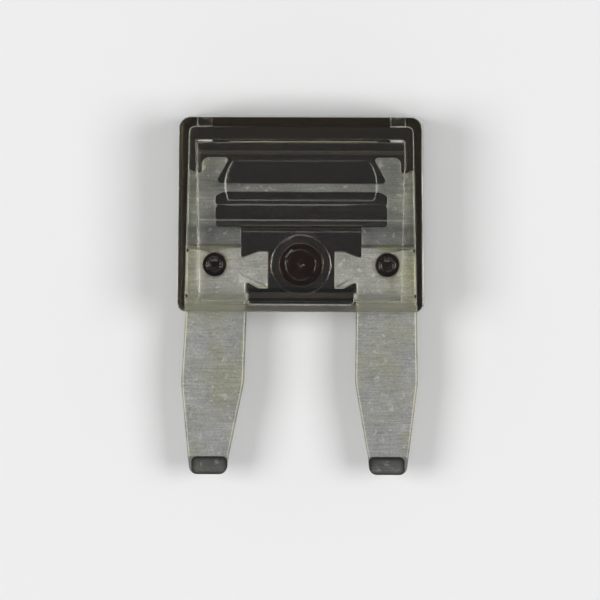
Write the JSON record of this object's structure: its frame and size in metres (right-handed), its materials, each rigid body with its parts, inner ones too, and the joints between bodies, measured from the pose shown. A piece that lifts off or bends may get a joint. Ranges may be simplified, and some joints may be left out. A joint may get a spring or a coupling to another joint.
{
  "type": "miniature automotive blade fuse",
  "caption": "Miniature plug-in blade fuse: a flat, tinted see-through housing, open at one end, round a stamped metal element with two tapered blades and a straight fusible link.",
  "frame": {"origin": "middle of the footprint's box, on the surface that the fuse lies on, with its back face down", "axes": "+Y towards the closed end of the housing, the blades towards -Y, +Z out of the front face, +X to the right"},
  "size_m": [0.0112, 0.0164, 0.0036],
  "materials": {
    "tinted_plastic": "see-through brown moulded plastic, polished faces, light scuffs",
    "zinc_alloy": "rolled zinc alloy, fine cross lines, sheared edges, dull where it is handled"
  },
  "bodies": {
    "root": {"housing": "tinted_plastic", "fuse_element": "zinc_alloy"}
  },
  "joints": []
}
